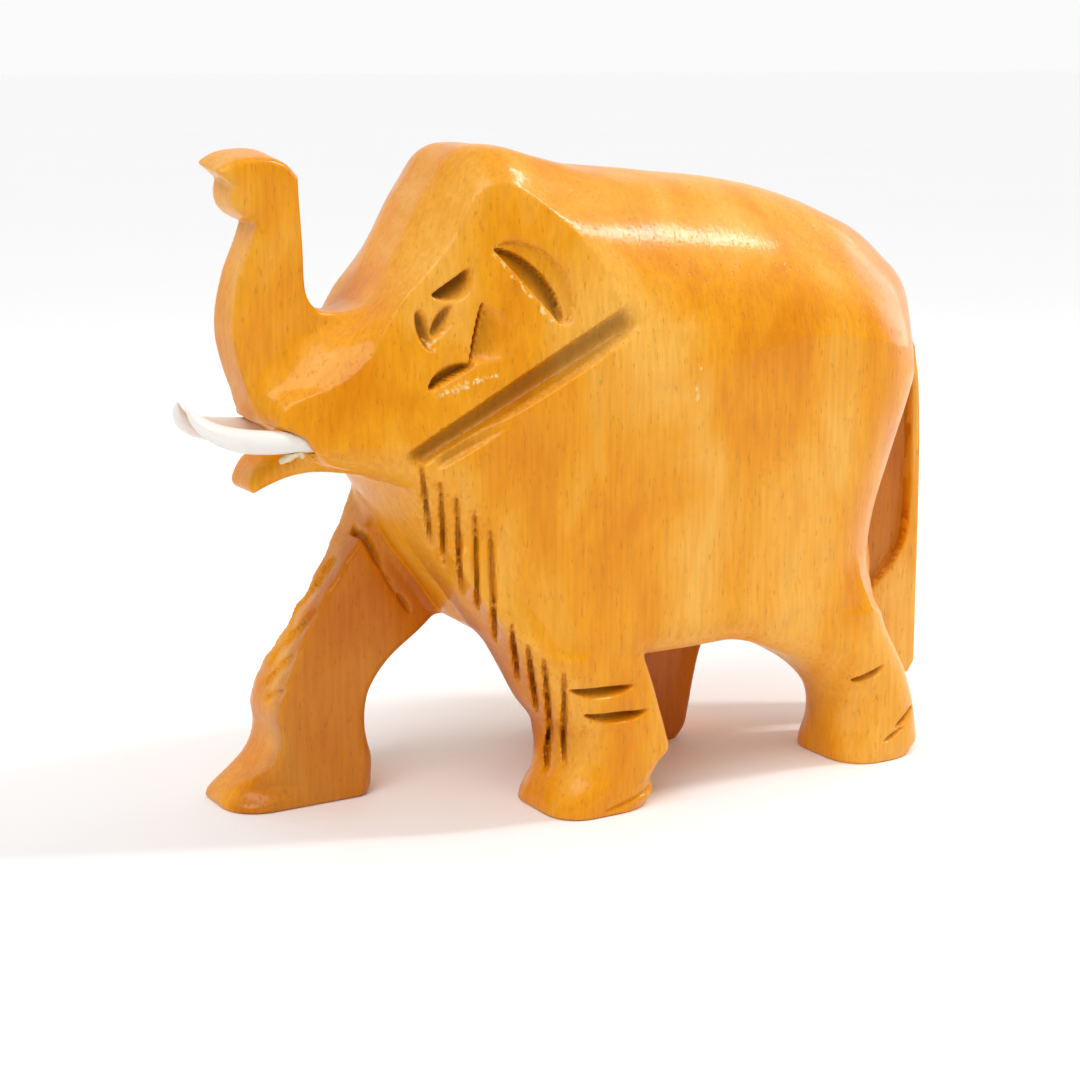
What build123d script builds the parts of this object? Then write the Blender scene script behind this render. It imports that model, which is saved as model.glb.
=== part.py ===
from build123d import *
import os
from math import cos, radians, sin

# A small elephant carved from one block of wood, with two white tusks glued into its mouth.
# Millimetres. It faces -X, its left flank is at -Y and its soles stand on Z 0.
# Until the last step X is measured from the crown of the head.

# The block
block_width = 36.0          # flank to flank
crown_height = 76.0         # soles to the top of the head
crown_to_tail = 67.0        # top of the head to the outer edge of the tail
belly_height = 18.0         # soles to the belly
shoulder_height = 57.0      # below this the flanks are flat, above it they round over
rump_wedge = 15.5           # how far forward of the tail the rump is as wide as the block
rump_facet = 4.5            # the corner pared off between rump and flank

# Head
forehead_drop = 17.0        # crown down to the notch between forehead and trunk
ear_yaw = 19.5              # how far each flat side of the head turns towards the front
ear_lean = 9.5              # how far it leans in towards the top
ear_half_width = 10.0       # half the head's width at the front end of the ear's top edge
groove_radius = 1.3         # the round gouge cut under the ear
groove_depth = 0.9
groove_runout = 1.5         # how far the gouge runs past the lower end of the ear

# Trunk, lower lip and tail, all left standing on the middle plane of the block
trunk_thickness = 6.4
lip_thickness = 7.0
tail_thickness = 5.6
tail_clearance = 6.0        # floor to the tip of the tail

# Legs
leg_gap = 7.3               # saw cut between the left and right legs
leg_inset = 0.6             # how far the outside of a leg stands in from the flank
leg_rounding = 2.2
left_fore_x = 10.5          # ankle of each leg, from the crown
right_fore_x = -17.5
left_hind_x = 17.0          # ankles of the hind legs, forward of the tail's edge
right_hind_x = 40.5

# Tusks, their sockets and the glue
tusk_radius = 1.55          # at the mouth
tusk_reach = 11.2           # how far a tusk stands out of the mouth
tusk_rise = 4.2             # how far its tip is above its root
tusk_spread = 5.6           # root, from the middle plane
tip_spread = 3.4            # tip, from the middle plane
tip_radius = 0.3
mouth_room = 0.6            # clear round a tusk where it leaves the mouth
tusk_shoulder = 0.35        # step from the tusk down to its peg
peg_length = 4.5
glue_gap = 0.2              # all round the peg
glue_bead = 1.3             # radius of the bead squeezed out at the mouth

# Knife and gouge cuts
face_cut_depth = 1.0
fold_width = 0.9
fold_depth = 0.7
band_width = 1.1

peg_radius = tusk_radius - tusk_shoulder
beyond = 150.0              # longer than the whole block, for shapes that only trim it
tail_x = crown_to_tail
half_width = block_width / 2
half_gap = leg_gap / 2


def head(x, z):
    """A point of the side view, placed from the crown."""
    return (x, crown_height + z)


def rear(x, z):
    """A point of the side view, placed forward of the tail's edge and down from the crown."""
    return (tail_x - x, crown_height + z)


def side_slab(outline, y_low, y_high):
    """Extrude a side-view face (X across, Z up) from y_low to y_high."""
    slab = extrude(Plane.XZ * outline, amount=y_high - y_low, dir=(0, 1, 0))
    return Pos(0, y_low, 0) * slab


def closed(*curves):
    """A face inside curves that join end to end."""
    return make_face([edge for curve in curves for edge in curve.edges()])


def block():
    """Back, belly and chest in side view, rounded over the top and wedged at the rump."""
    back = Spline(
        head(-16.0, -forehead_drop), head(-9.8, -9.5), head(-4.3, -2.2), head(0, 0), head(5.5, -0.6),
        rear(32, -4.6), rear(17, -8.2), rear(9.5, -12), rear(4, -18.5), rear(1.0, -27),
    )
    thigh = Spline(
        rear(1.0, -27), rear(4.5, -33), rear(12.5, -40), rear(16.5, -47), (tail_x - 17, belly_height + 1),
        tangents=[(-0.3, -1), (0.1, -1)],
    )
    chest = head(-14.5, -36)
    under = Polyline(
        (tail_x - 17, belly_height + 1), (6.5, belly_height + 1), (-2.5, belly_height + 2.5),
        chest, head(-16.6, -32.5), head(-16.0, -forehead_drop),
    )
    body = side_slab(closed(back, thigh, under), -half_width, half_width)
    return body & front_view() & plan_view()


def front_view():
    """The block seen from the front: flat flanks under a round back."""
    over = Spline(
        (half_width, shoulder_height), (half_width - 2.7, shoulder_height + 8.6),
        (half_width - 7.8, crown_height - 3.6), (0, crown_height),
        tangents=[(0, 1), (-1, 0)],
    )
    right = Line((half_width, -1), (half_width, shoulder_height))
    left_over = over.mirror(Plane.YZ)
    left = Line((-half_width, shoulder_height), (-half_width, -1))
    face = closed(right, over, left_over, left, Line((-half_width, -1), (half_width, -1)))
    return extrude(Plane.YZ * face, amount=beyond, both=True)


def plan_view():
    """The block seen from above: the rump is cut back to a blunt wedge on both sides of the tail."""
    corners = [
        (0, tail_thickness / 2), (rump_wedge * 0.72, half_width - rump_facet),
        (rump_wedge + rump_facet, half_width),
    ]
    right = [(tail_x - x, y) for x, y in corners] + [(-crown_to_tail, half_width)]
    left = [(x, -y) for x, y in reversed(right)]
    return extrude(make_face(Polyline(*right, *left, close=True)), amount=crown_height + 1)


def ear_plane(side):
    """The flat side of the head, through the front end of the ear's top edge."""
    yaw, lean = radians(ear_yaw), radians(ear_lean)
    outward = (-sin(yaw) * cos(lean), side * cos(yaw) * cos(lean), sin(lean))
    corner = head(-1.8, -3.5)
    return Plane(origin=(corner[0], side * ear_half_width, corner[1]), z_dir=outward)


groove_low = head(-11.8, -33.2)
groove_high = head(13.0, -18.2)


def side_cut(side):
    """What the saw takes off the side of the head, above the groove under the ear."""
    above = make_face(Polyline(
        groove_low, groove_high, head(40, -18.2), head(40, 10), head(-50, 10), head(-50, -33.2), close=True,
    ))
    slab = side_slab(above, *sorted((0.5 * side, 30 * side)))
    face = ear_plane(side)
    return slab & extrude(face * Rectangle(beyond, beyond), amount=beyond)


def on_ear(side, point):
    """Where a point of the side view lies on the flat side of the head."""
    face = ear_plane(side)
    x, z = point
    run = face.z_dir.X * (x - face.origin.X) + face.z_dir.Z * (z - face.origin.Z)
    return Vector(x, face.origin.Y - run / face.z_dir.Y, z)


def gouge(side, start, middle, end):
    """A crescent cut in the side of the head: straight from end to start, round through the middle."""
    face = ear_plane(side)
    points = [face.to_local_coords(on_ear(side, point)) for point in (start, middle, end)]
    outline = closed(ThreePointArc(*points), Line(points[2], points[0]))
    return extrude(face * outline, amount=face_cut_depth, both=True)


def face_cuts(side):
    """Ear hollow, brow, lower lid, cheek line and the fold beside the mouth."""
    return [
        gouge(side, head(-1.5, -11.5), head(4.6, -12.6), head(4.1, -18.8)),
        gouge(side, head(-4.7, -13.0), head(-5.6, -15.8), head(-8.5, -16.1)),
        gouge(side, head(-9.6, -17.2), head(-8.3, -18.9), head(-8.4, -21.5)),
        gouge(side, head(-3.1, -17.2), head(-3.4, -20.2), head(-4.9, -22.9)),
        gouge(side, head(-4.6, -23.6), head(-6.6, -26.0), head(-9.6, -25.9)),
    ]


def groove(side):
    """A straight round gouge along the lower edge of the ear, following the flat side of the head."""
    face = ear_plane(side)
    ends = [on_ear(side, point) for point in (groove_low, groove_high)]
    along = (ends[1] - ends[0]).normalized()
    start = ends[0] - along * groove_runout + face.z_dir * (groove_radius - groove_depth)
    length = (ends[1] - ends[0]).length + groove_runout * 2
    return extrude(Plane(origin=start, z_dir=along) * Circle(groove_radius), amount=length)


def trunk():
    """The raised trunk: a flat board with a two-lobed tip, joined into the forehead."""
    back = Spline(head(-19.8, -16.6), head(-20.4, -12), head(-20.3, -2.7))
    top = Spline(head(-20.3, -2.7), head(-24.5, -0.3), head(-27.5, -0.3), head(-30.4, -1.2))
    lobe = Spline(
        head(-30.4, -1.2), head(-27.9, -3.5), head(-28.7, -5), head(-28.2, -6.8), head(-25.7, -7.9),
    )
    front = Spline(
        head(-25.7, -7.9), head(-28.1, -14.5), head(-28.7, -19), head(-27.8, -24.4), head(-26.2, -28.8),
    )
    root = Polyline(
        head(-26.2, -28.8), head(-22.5, -31.4), head(-14, -31), head(-10, -20), head(-16, -17),
        head(-19.8, -16.6),
    )
    half = trunk_thickness / 2
    return side_slab(closed(back, top, lobe, front, root), -half, half)


def cheeks():
    """The head in front of the chest, down to the mouth, between its two flat sides."""
    face = make_face(Polyline(
        head(-16.0, -forehead_drop), head(-18.5, -18.0), head(-19.5, -21), head(-21.5, -24.0),
        head(-26.0, -27.6), head(-23.2, -31.2), head(-21.6, -33.3), head(-16.5, -35.2), head(-14.5, -36),
        head(-8, -34), head(0, -20), close=True,
    ))
    return side_slab(face, -half_width, half_width)


def lip():
    """The lower lip: a tongue of wood that stands forward under the tusks."""
    under = Spline(head(-14, -35.8), head(-21.4, -35.9), head(-27.3, -36.7), tangents=[(-1, 0), (-1, -0.15)])
    nose = Spline(head(-27.3, -36.7), head(-28.4, -35.6), head(-26.9, -33.8), head(-25, -33.2))
    over = Polyline(head(-25, -33.2), head(-21.8, -33.3), head(-14, -31), head(-14, -35.8))
    return side_slab(closed(under, nose, over), -lip_thickness / 2, lip_thickness / 2)


def tail():
    """The tail: a fin between the hind legs, its outer edge in the back plane of the block."""
    tip = tail_clearance
    face = make_face(Polyline(
        rear(1.0, -27), (tail_x, crown_height - 31), (tail_x, tip + 1), (tail_x - 1.2, tip),
        (tail_x - 6.2, tip + 2.6), (tail_x - 11.5, tip + 8), (tail_x - 14, belly_height + 2),
        (tail_x - 20, belly_height + 3), rear(20, -30), close=True,
    ))
    return side_slab(face, -tail_thickness / 2, tail_thickness / 2)


def leg(side, shin):
    """A leg from its side-view outline, its sole rounded off at both sides."""
    low, high = sorted((side * half_gap, side * (half_width - leg_inset)))
    slab = side_slab(shin, low, high)
    tall = crown_height
    face = Pos((low + high) / 2, tall / 2) * RectangleRounded(high - low, tall, leg_rounding)
    return slab & extrude(Plane.YZ * face, amount=beyond, both=True)


def left_fore():
    x = left_fore_x
    front = Spline(
        (x - 16.5, belly_height + 16), (x - 15, belly_height + 6), (x - 10.3, belly_height - 1.5), (x - 7, 12),
        (x - 5.8, 7.5), (x - 7.3, 4), (x - 6.8, 0),
    )
    back = Spline((x + 6.8, 0), (x + 7.2, 3), (x + 8.2, 8), (x + 7, 12), (x + 4.5, belly_height + 2))
    top = Polyline((x + 4.5, belly_height + 2), (x + 4, belly_height + 16), (x - 16.5, belly_height + 16))
    return leg(-1, closed(front, Line((x - 6.8, 0), (x + 6.8, 0)), back, top))


def right_fore():
    x = right_fore_x
    front = Spline(
        (x + 5, belly_height + 19), (x + 1.5, belly_height + 10.5), (x - 3.2, belly_height + 1.4), (x - 6.6, 12),
        (x - 7.4, 8), (x - 11.2, 4), (x - 11, 0),
    )
    back = Spline((x + 8.5, 0), (x + 8.4, 4.5), (x + 7, 9.5), (x + 8.5, 13.7), (x + 16, belly_height + 1.2))
    top = Polyline((x + 16, belly_height + 1.2), (x + 22, belly_height + 19), (x + 5, belly_height + 19))
    return leg(1, closed(front, Line((x - 11, 0), (x + 8.5, 0)), back, top))


def left_hind():
    x = tail_x - left_hind_x
    front = Spline(
        (x - 17.5, belly_height), (x - 12, belly_height - 4.3), (x - 7.3, 8.3), (x - 6.3, 4), (x - 6.2, 0),
    )
    back = Spline((x + 6.2, 0), (x + 6.9, 3), (x + 6, 8), (x + 1.5, belly_height - 1.5), (x - 0.5, belly_height + 7))
    top = Polyline((x - 0.5, belly_height + 7), (x - 17.5, belly_height + 7), (x - 17.5, belly_height))
    return leg(-1, closed(front, Line((x - 6.2, 0), (x + 6.2, 0)), back, top))


def right_hind():
    x = tail_x - right_hind_x
    front = Spline(
        (x - 14.5, belly_height + 1), (x - 9.5, belly_height - 3.5), (x - 7.6, 8), (x - 7.6, 3), (x - 6.8, 0),
    )
    back = Spline((x + 6.2, 0), (x + 8.6, 5), (x + 11, 13), (x + 14.5, belly_height), (x + 21, belly_height + 7))
    top = Polyline((x + 21, belly_height + 7), (x - 14.5, belly_height + 7), (x - 14.5, belly_height + 1))
    return leg(1, closed(front, Line((x - 6.8, 0), (x + 6.2, 0)), back, top))


def knife_cut(start, end, width, y):
    """One cut of the knife, pointed at both ends, from start to end (X and Z) in the flank at y."""
    (x0, z0), (x1, z1) = start, end
    middle = ((x0 + x1) / 2, y, (z0 + z1) / 2)
    along = Vector(x1 - x0, 0, z1 - z0)
    blade = Polyline(
        (-along.length / 2, 0), (0, width / 2), (along.length / 2, 0), (0, -width / 2), close=True,
    )
    flank = Plane(origin=middle, x_dir=along, z_dir=(0, 1, 0))
    return extrude(flank * make_face(blade), amount=fold_depth, both=True)


def flank_cuts():
    """Folds of skin from the shoulder down the left foreleg, and two bands above its foot."""
    flank = -half_width
    shin = -(half_width - leg_inset)
    cuts = []
    for i in range(5):
        low = (left_fore_x - 17.4 + 2.2 * i, belly_height + 18.5 - 3.6 * i)
        high = (low[0] - 1.6, low[1] + 9.5 + 0.5 * i)
        cuts.append(knife_cut(high, low, fold_width, flank))
    for i in range(3):
        high = (left_fore_x - 8.2 + 2.1 * i, belly_height - 1.5 - 1.6 * i)
        cuts.append(knife_cut(high, (high[0] + 1.2, high[1] - 7), fold_width, shin))
    for i in range(2):
        front = (left_fore_x - 1.6 + 1.2 * i, 15 - 3.4 * i)
        cuts.append(knife_cut(front, (front[0] + 7.2, front[1] + 1.0), band_width, shin))
    return cuts


def tusk_line(side):
    """The middle line of a tusk, from its root in the mouth to its tip, sagging a little."""
    x, z = head(-22.6, -31.8)
    root = Vector(x, side * tusk_spread, z)
    tip = Vector(x - tusk_reach, side * tip_spread, z + tusk_rise)
    return Spline(root, (root + tip) * 0.5 + Vector(0, side * 0.4, -0.9), tip)


def tusk(side):
    """A curved, tapering horn with a round peg behind it."""
    line = tusk_line(side)
    sections = []
    for t in (0, 0.2, 0.4, 0.6, 0.8, 1):
        radius = tusk_radius + (tip_radius - tusk_radius) * t ** 1.6
        sections.append(Plane(origin=line @ t, z_dir=line % t) * Circle(radius))
    peg = extrude(Plane(origin=line @ 0, z_dir=-(line % 0)) * Circle(peg_radius), amount=peg_length)
    return loft(sections) + peg


def bore(side):
    """The drilled hole behind a tusk's root: the peg and the glue all round it."""
    line = tusk_line(side)
    mouth = Plane(origin=line @ 0, z_dir=-(line % 0))
    return extrude(mouth * Circle(peg_radius + glue_gap), amount=peg_length + glue_gap)


def socket(side):
    """The drilled hole, and the room cut in front of it that lets the tusk out of the mouth."""
    line = tusk_line(side)
    room = Plane(origin=line @ 0, z_dir=line % 0) * Circle(tusk_radius + mouth_room)
    return bore(side) + extrude(room, amount=tusk_reach)


def glue(side, wood, horn):
    """Glue round the peg, with a small bead squeezed out at the lower edge of the mouth."""
    bead = Pos(*(tusk_line(side) @ 0 + Vector(0.3, side * 0.9, -1.2))) * Sphere(glue_bead)
    return bore(side) + bead - wood - horn


def carve():
    """The whole wooden figure."""
    body = block() + cheeks()
    for side in (-1, 1):
        body -= side_cut(side)
    body = body + trunk() + lip() + tail()
    for limb in (left_fore(), right_fore(), left_hind(), right_hind()):
        body += limb
    for side in (-1, 1):
        body -= groove(side)
        body -= socket(side)
        for cut in face_cuts(side):
            body -= cut
    for cut in flank_cuts():
        body -= cut
    return body


wood = carve()
pieces = {"carved_body": wood}
for name, side in (("left", -1), ("right", 1)):
    horn = tusk(side)
    pieces["tusk_" + name] = horn
    pieces["tusk_glue_" + name] = glue(side, wood, horn)

# The origin goes to the middle of the whole figure's box, on the floor
whole = Compound(children=[Compound(piece.solids()) for piece in pieces.values()]).bounding_box()
shift = Pos(-(whole.min.X + whole.max.X) / 2, -(whole.min.Y + whole.max.Y) / 2, -whole.min.Z)
os.makedirs("parts", exist_ok=True)
for name, piece in pieces.items():
    export_step(shift * piece, "parts/" + name + ".step")
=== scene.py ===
import math
import bpy
import numpy as np
import openvdb
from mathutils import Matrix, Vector


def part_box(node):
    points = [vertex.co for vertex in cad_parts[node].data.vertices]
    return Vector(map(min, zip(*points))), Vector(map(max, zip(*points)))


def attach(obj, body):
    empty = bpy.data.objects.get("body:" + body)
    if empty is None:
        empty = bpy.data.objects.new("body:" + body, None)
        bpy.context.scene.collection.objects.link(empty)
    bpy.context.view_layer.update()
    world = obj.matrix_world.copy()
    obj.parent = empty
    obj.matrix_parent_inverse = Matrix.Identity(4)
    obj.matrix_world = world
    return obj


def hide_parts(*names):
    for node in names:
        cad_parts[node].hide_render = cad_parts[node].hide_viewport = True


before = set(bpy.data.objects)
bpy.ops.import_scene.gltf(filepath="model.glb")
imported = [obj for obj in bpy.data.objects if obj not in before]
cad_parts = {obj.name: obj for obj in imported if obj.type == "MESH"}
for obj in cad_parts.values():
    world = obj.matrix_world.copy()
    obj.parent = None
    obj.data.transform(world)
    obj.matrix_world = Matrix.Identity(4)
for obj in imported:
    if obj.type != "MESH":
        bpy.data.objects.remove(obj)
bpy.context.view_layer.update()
print("frame loaded")

# The wood is worked out in millimetres. X runs back from the crown of the head, Z up from the floor.
bodyLow, bodyHigh = [corner * 1000 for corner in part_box("carved_body")]

block = {
    "crownToTail": 67.0,      # crown of the head to the tail's outer edge
    "belly": 18.0,            # floor to belly
    "legGap": 7.3,            # saw cut between left and right legs
    "voxel": 0.25,            # how finely the carving is meshed
    "faces": 185000,          # triangles that the finished carving may have
}
crownX = bodyHigh.x - block["crownToTail"]
crownZ = bodyHigh.z
halfWidth = bodyHigh.y
tailX = block["crownToTail"]
belly = block["belly"]
halfGap = block["legGap"] / 2
voxel = block["voxel"]

# Grid that the wood is carved from
margin = 1.5
gridLow = np.array([bodyLow.x - crownX - margin, -halfWidth - margin, -margin])
gridHigh = np.array([tailX + margin, halfWidth + margin, crownZ + margin])
gridSize = np.ceil((gridHigh - gridLow) / voxel).astype(int) + 1
gridX, gridY, gridZ = [(gridLow[i] + voxel * np.arange(gridSize[i])).astype(np.float32) for i in range(3)]
sideX, sideZ = np.meshgrid(gridX, gridZ, indexing="ij")     # the side view
wide = np.abs(gridY)


def head(x, z):
    return (x, crownZ + z)          # a point placed from the crown


def rear(x, z):
    return (tailX - x, crownZ + z)  # a point placed forward of the tail and down from the crown


# Points joined by a smooth curve through all of them
def bend(points, step=0.6):
    p = np.array(points, float)
    if len(p) < 3:
        return p
    p = np.vstack([2 * p[0] - p[1], p, 2 * p[-1] - p[-2]])
    out = []
    for a, b, c, d in zip(p[:-3], p[1:-2], p[2:-1], p[3:]):
        ab, bc, cd = [max(np.linalg.norm(v - u), 1e-6) ** 0.5 for u, v in ((a, b), (b, c), (c, d))]
        for t in np.linspace(0, 1, max(int(bc ** 2 / step), 2), endpoint=False):
            s = ab + t * bc
            total = ab + bc + cd
            u = a + (b - a) * s / ab
            v = b + (c - b) * (s - ab) / bc
            w = c + (d - c) * (s - ab - bc) / cd
            uv = u + (v - u) * s / (ab + bc)
            vw = v + (w - v) * (s - ab) / (total - ab)
            out.append(uv + (vw - uv) * (s - ab) / bc)
    return np.array(out + [p[-2]])


# Closed outline of smooth stretches that meet at corners
def outline(*stretches):
    return np.vstack([bend(stretch)[:-1] for stretch in stretches])


# Distance to a closed outline over a flat grid, negative inside it
def inside(line, u, v):
    best = np.full(u.shape, 1e9, np.float32)
    crossings = np.zeros(u.shape, bool)
    for (ax, az), (bx, bz) in zip(line, np.roll(line, -1, axis=0)):
        ex, ez = bx - ax, bz - az
        du, dv = u - ax, v - az
        t = np.clip((du * ex + dv * ez) / (ex * ex + ez * ez + 1e-12), 0, 1)
        best = np.minimum(best, (du - t * ex) ** 2 + (dv - t * ez) ** 2)
        if az != bz:
            crossings ^= ((az > v) != (bz > v)) & (u < ax + ex * (v - az) / ez)
    best = np.sqrt(best)
    return np.where(crossings, -best, best).astype(np.float32)


# Where a and b overlap, with the outer edge rounded
def both(a, b, radius):
    u, v = np.maximum(a + radius, 0), np.maximum(b + radius, 0)
    return np.minimum(-radius, np.maximum(a, b)) + np.sqrt(u * u + v * v)


# a and b together, with the inner corner filled
def either(a, b, radius):
    u, v = np.maximum(radius - a, 0), np.maximum(radius - b, 0)
    return np.maximum(radius, np.minimum(a, b)) - np.sqrt(u * u + v * v)


def soft(value, low, high):
    t = np.clip((value - low) / (high - low), 0, 1)
    return t * t * (3 - 2 * t)


# Values of a smooth curve, given by its corners, at each place
def along(points, places, step=0.4):
    line = bend(points, step)
    return np.interp(places, line[:, 0], line[:, 1]).astype(np.float32)


# A side-view field as a layer that reaches across the grid
def flat(field):
    return field[:, None, :]


torso = {
    "drawnHigh": 76.0,         # height of the crown in the lists below
    "drawnLong": 67.0,         # crown to tail in the lists below
    "bellyEdge": 4.0,          # rounding of the lower edge of the flank
    "chestRound": 0.03,        # how the chest curves back to the sides
    "chestAlong": (-5, 10),    # where along the body that ends
    "chestUp": (31, 45),       # and at which height
    "archJoint": (4, 22),      # where the crown's front view goes over into the back's
    "rumpSlope": 0.83,         # how steeply the rump narrows to the tail
    "rumpRound": 4.0,          # rounding between rump and flank
    # half the width along the body
    "plan": [(-18, 9.4), (-14.5, 10.7), (-12, 11.9), (-8, 13.5), (-4, 14.9), (0, 16.1), (5, 17.3), (10, 17.9),
             (20, 18.0), (31, 17.8), (44, 17.4), (70, 17.0)],
    # half the front view at the crown, and behind the ears
    "crownArch": [(0, 76), (5, 75.95), (7.6, 75.4), (9.4, 73.9), (10.8, 72.1), (13.1, 69.5), (15.6, 65.2),
                  (17.4, 59)],
    "backArch": [(0, 76), (5, 75.3), (8.6, 73.7), (11.2, 71.3), (14.0, 67.6), (16.3, 63.2), (17.6, 58.5)],
    # middle line of the back, and the ridge that the rump's wedge would have at the middle plane
    "back": [(-40, 76), (-6, 75.5), (-2, 75.8), (2, 75.9), (6, 74.9), (12, 73.7), (22, 72.7), (36, 71.1), (44, 69.1),
             (51.5, 66.1), (58.4, 63.2), (63.9, 59), (66.4, 53), (69, 46)],
    "ridge": [(-3, 69.0), (4, 68.8), (8, 67.5), (13, 65.4), (18, 62.7), (22, 61.1), (26, 60.6), (31, 61.3),
              (38, 63.7), (45, 66.3), (48, 67.1), (51, 66.6), (55.5, 65.6), (59, 64.1), (62, 61.5), (80, 52)],
}


# Distance out from the front view, over a grid that is also tall enough for the lowered back
def archField(half):
    top = [(y, z + crownZ - torso["drawnHigh"]) for y, z in half]
    tall = np.arange(gridZ[0], gridZ[-1] + 16, voxel, dtype=np.float32)
    arch = outline(
        [(-y, z) for y, z in reversed(top)] + top[1:],
        [top[-1], (halfWidth, 53), (halfWidth, -20)],
        [(halfWidth, -20), (-halfWidth, -20)],
        [(-halfWidth, -20), (-halfWidth, 53), (-top[-1][0], top[-1][1])],
    )
    return inside(arch, *np.meshgrid(gridY, tall, indexing="ij")), tall


# Back, belly and chest: side view, front view and the wedge of the rump, cut through each other
def torsoField():
    side = outline(
        [(-32, crownZ + 14), (tailX + 3, crownZ + 14)],
        [(tailX + 3, crownZ + 14), (tailX + 3, belly + 1)],
        [(tailX + 3, belly + 1), (tailX - 25, belly + 0.4), (14, belly), (4, belly + 0.5), (-1.5, belly + 3.4)],
        [(-1.5, belly + 3.4), (-5, 26.4), (-8.4, 31), (-10.9, 36), (-12.2, 39.3)],
        [(-12.2, 39.3), (-13.9, 40.4), (-17, 41.2), (-20.6, 42.4), (-22.3, 44.0)],
        [(-22.3, 44.0), (-22.9, 45.2), (-24.0, 46.0), (-25.3, 46.7)],
        [(-25.3, 46.7), (-26.5, 49.4), (-27.5, 53), (-28.3, 58)],
        [(-28.3, 58), (-32, crownZ + 14)],
    )
    sideView = inside(side, sideX, sideZ)

    # The chest curves back towards the sides
    fade = (1 - soft(sideX, *torso["chestAlong"])) * (1 - soft(sideZ, *torso["chestUp"]))
    place = (sideX - gridX[0])[:, None, :] / voxel - (
        torso["chestRound"] / voxel * wide[None, :, None] ** 2 * fade[:, None, :])
    cell = np.clip(place.astype(int), 0, len(gridX) - 2)
    share = (place - cell).astype(np.float32)
    row = np.arange(len(gridZ))[None, None, :]
    body = sideView[cell, row] * (1 - share) + sideView[cell + 1, row] * share

    # The front view, let down to the height of the back above each place
    lowered = crownZ - along([(x, z + crownZ - torso["drawnHigh"]) for x, z in torso["back"]], gridX)
    weight = soft(gridX, *torso["archJoint"])
    frontView = 0
    place = (sideZ + lowered[:, None] * soft(sideZ, 30, 60) - gridZ[0]) / voxel
    for half, part in ((torso["crownArch"], 1 - weight), (torso["backArch"], weight)):
        arch, tall = archField(half)
        cell = np.clip(place.astype(int), 0, len(tall) - 2)
        share = (place - cell).astype(np.float32)
        arch = np.moveaxis(arch[:, cell] * (1 - share) + arch[:, cell + 1] * share, 0, 1)
        frontView = frontView + arch * part[:, None, None]

    frontView = np.maximum(frontView, planField())
    body = both(frontView.astype(np.float32), body, torso["bellyEdge"])
    return both(body, rumpField(), torso["rumpRound"])


# Distance out from the flanks as seen from above
def planField():
    return wide[None, :, None] - along(torso["plan"], gridX)[:, None, None]


# Distance out from the wedge of the rump
def rumpField():
    ridge = along([(z, x + tailX - torso["drawnLong"]) for z, x in torso["ridge"]], gridZ)
    slope = torso["rumpSlope"]
    rump = gridX[:, None, None] - ridge[None, None, :] + slope * wide[None, :, None]
    return rump / math.hypot(1, slope)


# Forehead and cheeks: how far forward they reach at each height, beside the trunk and at the flat sides
face = {
    "inner": [head(-2.1, 1.0), head(-3.4, -1.2), head(-4.8, -3.5), head(-6.9, -6.2), head(-9.1, -10),
              head(-10.9, -13.5), head(-12.4, -16), head(-13.6, -17.5),
              head(-15.8, -18.9), head(-18.3, -20.1), head(-21.2, -21.6),
              head(-23.2, -23.3), head(-25.0, -24.9), head(-27.0, -26.6), head(-29.2, -28.4), head(-31, -31)],
    "outer": [head(0.8, 1.0), head(-0.4, -1.4), head(-1.9, -3.5), head(-3.8, -6.2), head(-6.2, -10.1),
              head(-9.1, -13.5), head(-11.5, -16), head(-13.7, -19.2),
              head(-15.5, -21.8), head(-18.8, -24.9), head(-21.9, -26.4),
              head(-25, -28.3), head(-29, -31)],
    # half the width of the face by height
    "sides": [(45, 6.0), (51, 7.8), (60, 8.8), (72.5, 10), (76, 10.3)],
    "crownEdge": 1.8,          # rounding of the edge between face and crown
}


def faceField():
    lines = [bend(face[name], 0.3)[::-1] for name in ("inner", "outer")]
    inner, outer = [np.interp(gridZ, line[:, 1], line[:, 0]) for line in lines]
    edge = np.interp(gridZ, *zip(*face["sides"]))
    start = trunk["thick"] / 2
    t = np.maximum((wide[:, None] - start) / (edge - start), 0)
    front = inner + (outer - inner) * t ** (1 + 0.5 * soft(gridZ, crownZ - 18.6, crownZ - 16))
    acrossSlope, upSlope = np.gradient(front, voxel)
    scale = (1 / np.sqrt(1 + acrossSlope ** 2 + upSlope ** 2)).astype(np.float32)
    return (front.astype(np.float32)[None] - gridX[:, None, None]) * scale[None]


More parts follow.
